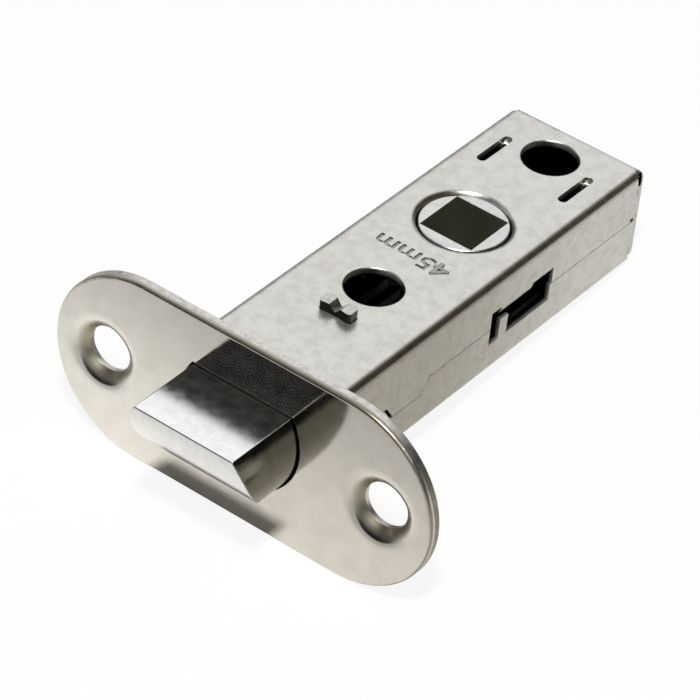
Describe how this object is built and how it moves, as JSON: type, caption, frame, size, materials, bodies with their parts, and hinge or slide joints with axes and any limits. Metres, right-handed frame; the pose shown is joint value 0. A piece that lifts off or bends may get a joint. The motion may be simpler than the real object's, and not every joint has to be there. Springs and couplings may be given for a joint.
{
  "type": "tubular mortice door latch",
  "caption": "Tubular door latch: round-ended forend with dished screw holes, bevelled spring bolt, pressed steel case, square-bored follower.",
  "frame": {"origin": "centre of the forend's outer face, on the bolt's line of travel", "axes": "+Y from the forend into the door, along the bolt's retraction; +X along the forend; +Z out of the case's upper broad face, along the spindle's axis"},
  "size_m": [0.058, 0.0822, 0.0266],
  "materials": {
    "case_zinc": "zinc-plated pressed steel, dull and lightly mottled",
    "forend_satin": "satin nickel plate over steel",
    "backing_steel": "satin nickel plate, duller at the cut edge",
    "bolt_nickel": "polished nickel plate",
    "follower_steel": "plain sintered steel, zinc plated",
    "inner_steel": "oiled dark steel",
    "seat_steel": "zinc-plated steel, staked over",
    "spring_steel": "spring wire, oiled"
  },
  "bodies": {
    "case": {"face_plate": "forend_satin", "backing_plate": "backing_steel", "case_upper": "case_zinc", "case_lower": "case_zinc", "spring_seat": "seat_steel", "bolt_spring": "spring_steel"},
    "bolt": {"bolt_head": "bolt_nickel", "draw_arm_left": "inner_steel", "draw_arm_right": "inner_steel", "arm_rivet_left": "inner_steel", "arm_rivet_right": "inner_steel"},
    "follower": {"follower": "follower_steel"}
  },
  "joints": [
    {"name": "follower_turn", "type": "hinge", "parent": "case", "child": "follower", "pos_m": [0, 0.045, 0], "axis": [0, 0, 1], "range_deg": [0, 78]},
    {"name": "bolt_slide", "type": "slide", "parent": "case", "child": "bolt", "axis": [0, 1, 0], "range_m": [0, 0.0106], "stiffness_N_per_m": 300, "springref_m": -0.01, "deforming": ["bolt_spring"]}
  ],
  "couplings": [
    {"joint": "follower_turn", "follows": "bolt_slide", "rad_per_m": 126.7}
  ]
}
